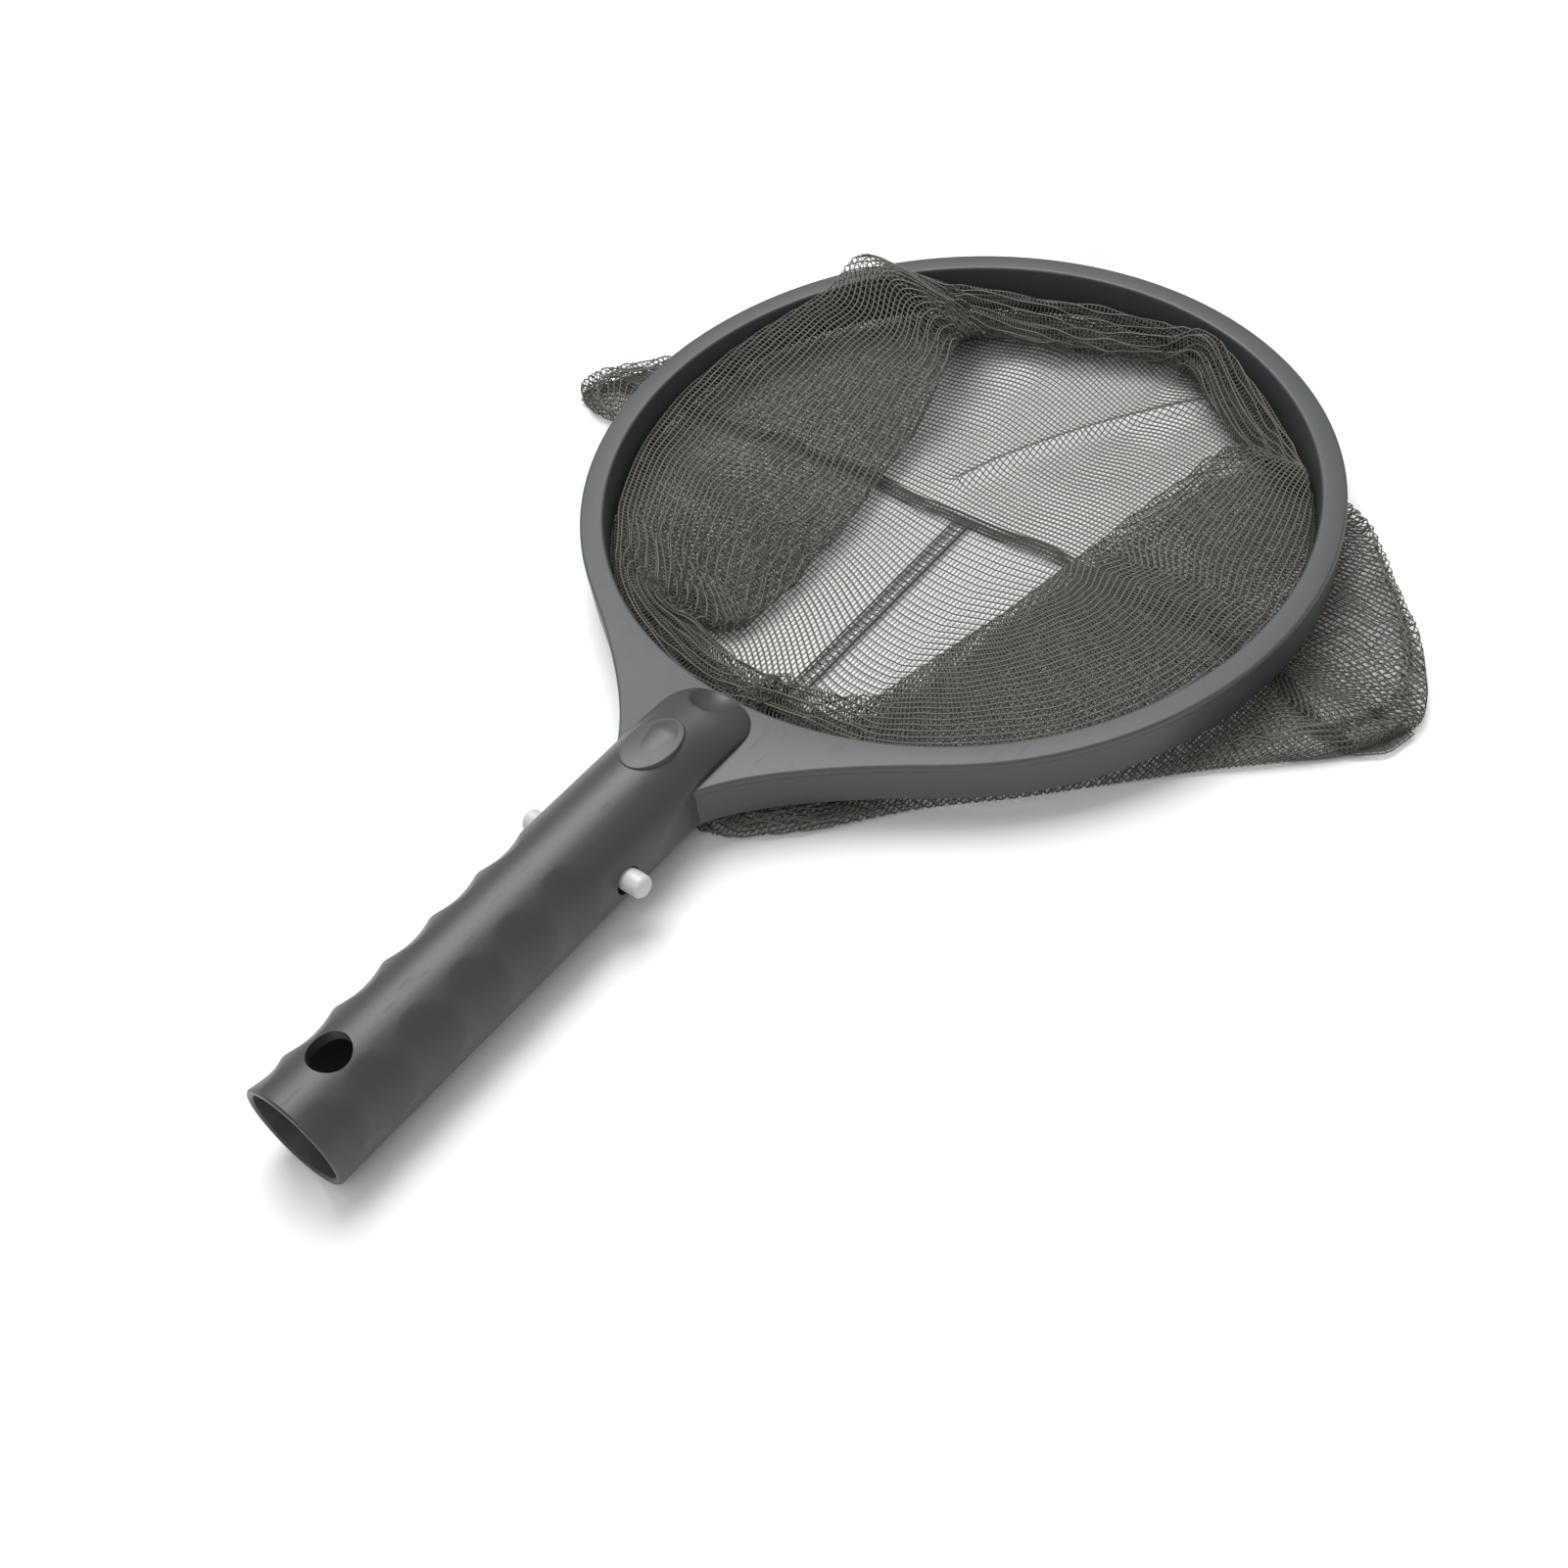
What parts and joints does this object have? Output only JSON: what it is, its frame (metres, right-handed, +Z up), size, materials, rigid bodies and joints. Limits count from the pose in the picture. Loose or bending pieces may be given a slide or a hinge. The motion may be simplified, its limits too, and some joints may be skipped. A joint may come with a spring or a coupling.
{
  "type": "leaf skimmer net",
  "caption": "Round hoop with a fine mesh sack and a hollow grip handle that snaps into a telescopic pole by two spring buttons.",
  "frame": {"origin": "on the resting plane, under the middle of the hoop", "axes": "+Z up, out of the net's mouth; the handle runs along -Y; +X to the right seen from the handle's end"},
  "size_m": [0.269, 0.3485, 0.0286],
  "materials": {
    "hoop_plastic": "satin moulded grey plastic, cool tone, slightly lighter on the flat top face",
    "handle_plastic": "satin moulded grey plastic, slightly warmer than the hoop",
    "lock_plastic": "satin moulded grey plastic, hidden in the hoop's channel",
    "net_mesh": "fine knitted olive-grey polyester mesh, see-through as one layer",
    "seam_cloth": "dark doubled mesh with ladder stitching",
    "hem_cord": "braided polyester cord",
    "spring_steel": "stainless spring strip",
    "button_plastic": "white nylon, lightly glossy"
  },
  "bodies": {
    "skimmer": {"hoop_frame": "hoop_plastic", "handle": "handle_plastic", "retaining_ring": "lock_plastic", "hem_cord": "hem_cord", "net_hem": "seam_cloth", "net_bag": "net_mesh", "bottom_seam_tape": "seam_cloth", "side_seam_tape": "seam_cloth", "clip_bend": "spring_steel"},
    "right_clip": {"right_clip_arm": "spring_steel", "right_snap_button": "button_plastic"},
    "left_clip": {"left_clip_arm": "spring_steel", "left_snap_button": "button_plastic"}
  },
  "joints": [
    {"name": "right_button_press", "type": "hinge", "parent": "skimmer", "child": "right_clip", "pos_m": [0.00975, -0.1218, 0.01425], "axis": [0, 0, -1], "range_deg": [0, 9.3], "stiffness_Nm_per_rad": 0.6, "springref_deg": -2.86},
    {"name": "left_button_press", "type": "hinge", "parent": "skimmer", "child": "left_clip", "pos_m": [-0.00975, -0.1218, 0.01425], "axis": [0, 0, 1], "range_deg": [0, 9.3], "stiffness_Nm_per_rad": 0.6, "springref_deg": -2.86}
  ]
}
